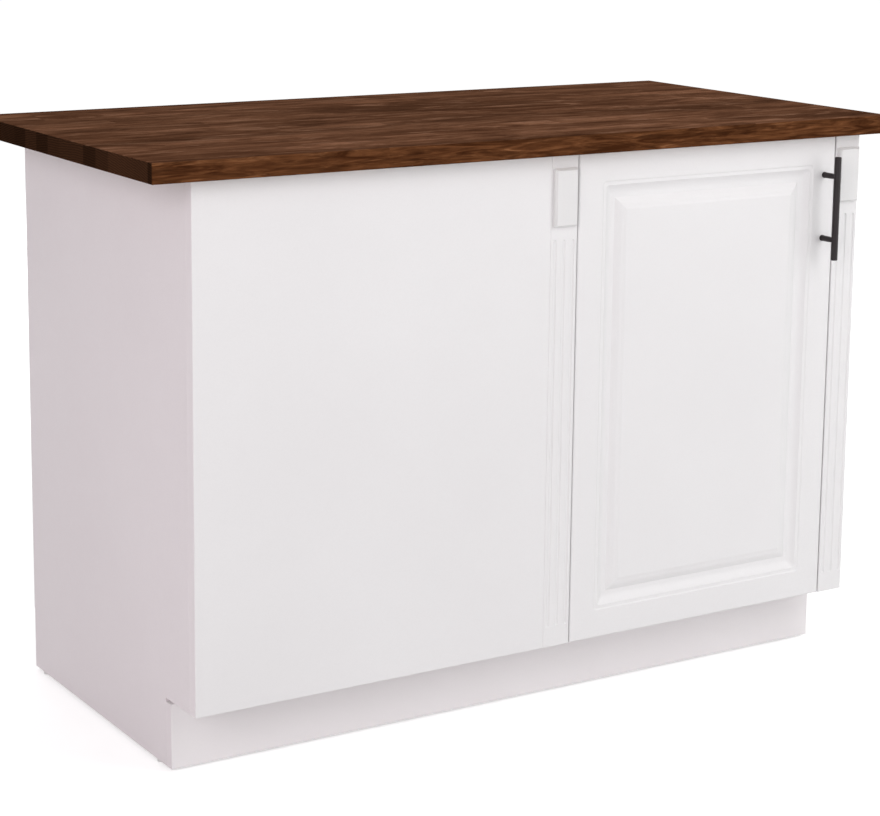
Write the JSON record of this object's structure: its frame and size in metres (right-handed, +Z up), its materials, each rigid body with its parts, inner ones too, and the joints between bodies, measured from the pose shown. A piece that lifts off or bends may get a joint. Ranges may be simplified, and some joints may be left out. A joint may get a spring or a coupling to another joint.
{
  "type": "kitchen island unit",
  "caption": "Free-standing kitchen island cabinet with a blind front panel, a raised-panel door between fluted pilasters, a recessed plinth and an overhanging wooden worktop.",
  "frame": {"origin": "middle of the whole object's footprint, on the floor under the glides", "axes": "+X along the front towards the door's end, +Y from the front to the back, +Z up"},
  "size_m": [1.22, 0.61, 0.848],
  "materials": {
    "walnut_worktop": "oiled, satin, dark walnut stain",
    "white_board": "white melamine, satin",
    "white_front": "white foil on moulded fibreboard, satin",
    "white_hardboard": "white lacquered hardboard",
    "beech_dowel": "raw beech",
    "white_nylon": "moulded nylon",
    "soft_bumper": "clear soft plastic",
    "black_handle": "matt black powder coat",
    "zinc_cam": "cast zinc, plain",
    "plated_steel": "bright zinc or nickel plate"
  },
  "bodies": {
    "carcass": {"worktop": "walnut_worktop", "left_side_panel": "white_board", "right_side_panel": "white_board", "bottom_panel": "white_board", "back_panel": "white_hardboard", "front_rail": "white_board", "rear_rail": "white_board", "hinge_stile": "white_board", "left_strip": "white_board", "middle_strip": "white_board", "right_strip": "white_board", "blind_front": "white_front", "middle_pilaster": "white_front", "middle_block": "white_front", "right_pilaster": "white_front", "right_block": "white_front", "shelf": "white_board", "shelf_pins": "plated_steel", "plinth_board": "white_board", "plinth_brackets": "plated_steel", "plinth_screws": "plated_steel", "floor_glides": "white_nylon", "dowels": "beech_dowel", "cam_bolts": "plated_steel", "cam_locks": "zinc_cam", "post_screws": "plated_steel", "front_screws": "plated_steel", "worktop_screws": "plated_steel", "back_screws": "plated_steel", "upper_hinge_plate": "plated_steel", "lower_hinge_plate": "plated_steel", "upper_hinge_arm": "plated_steel", "lower_hinge_arm": "plated_steel", "hinge_plate_screws": "plated_steel", "hinge_arm_screws": "plated_steel"},
    "door": {"door": "white_front", "upper_hinge_cup": "plated_steel", "lower_hinge_cup": "plated_steel", "hinge_pins": "plated_steel", "hinge_cup_screws": "plated_steel", "handle_bar": "black_handle", "handle_posts": "black_handle", "handle_screws": "plated_steel", "door_bumpers": "soft_bumper"}
  },
  "joints": [
    {"name": "door_hinge", "type": "hinge", "parent": "carcass", "child": "door", "pos_m": [0.067, -0.263, 0.46], "axis": [0, 0, -1], "range_deg": [0, 100]}
  ]
}
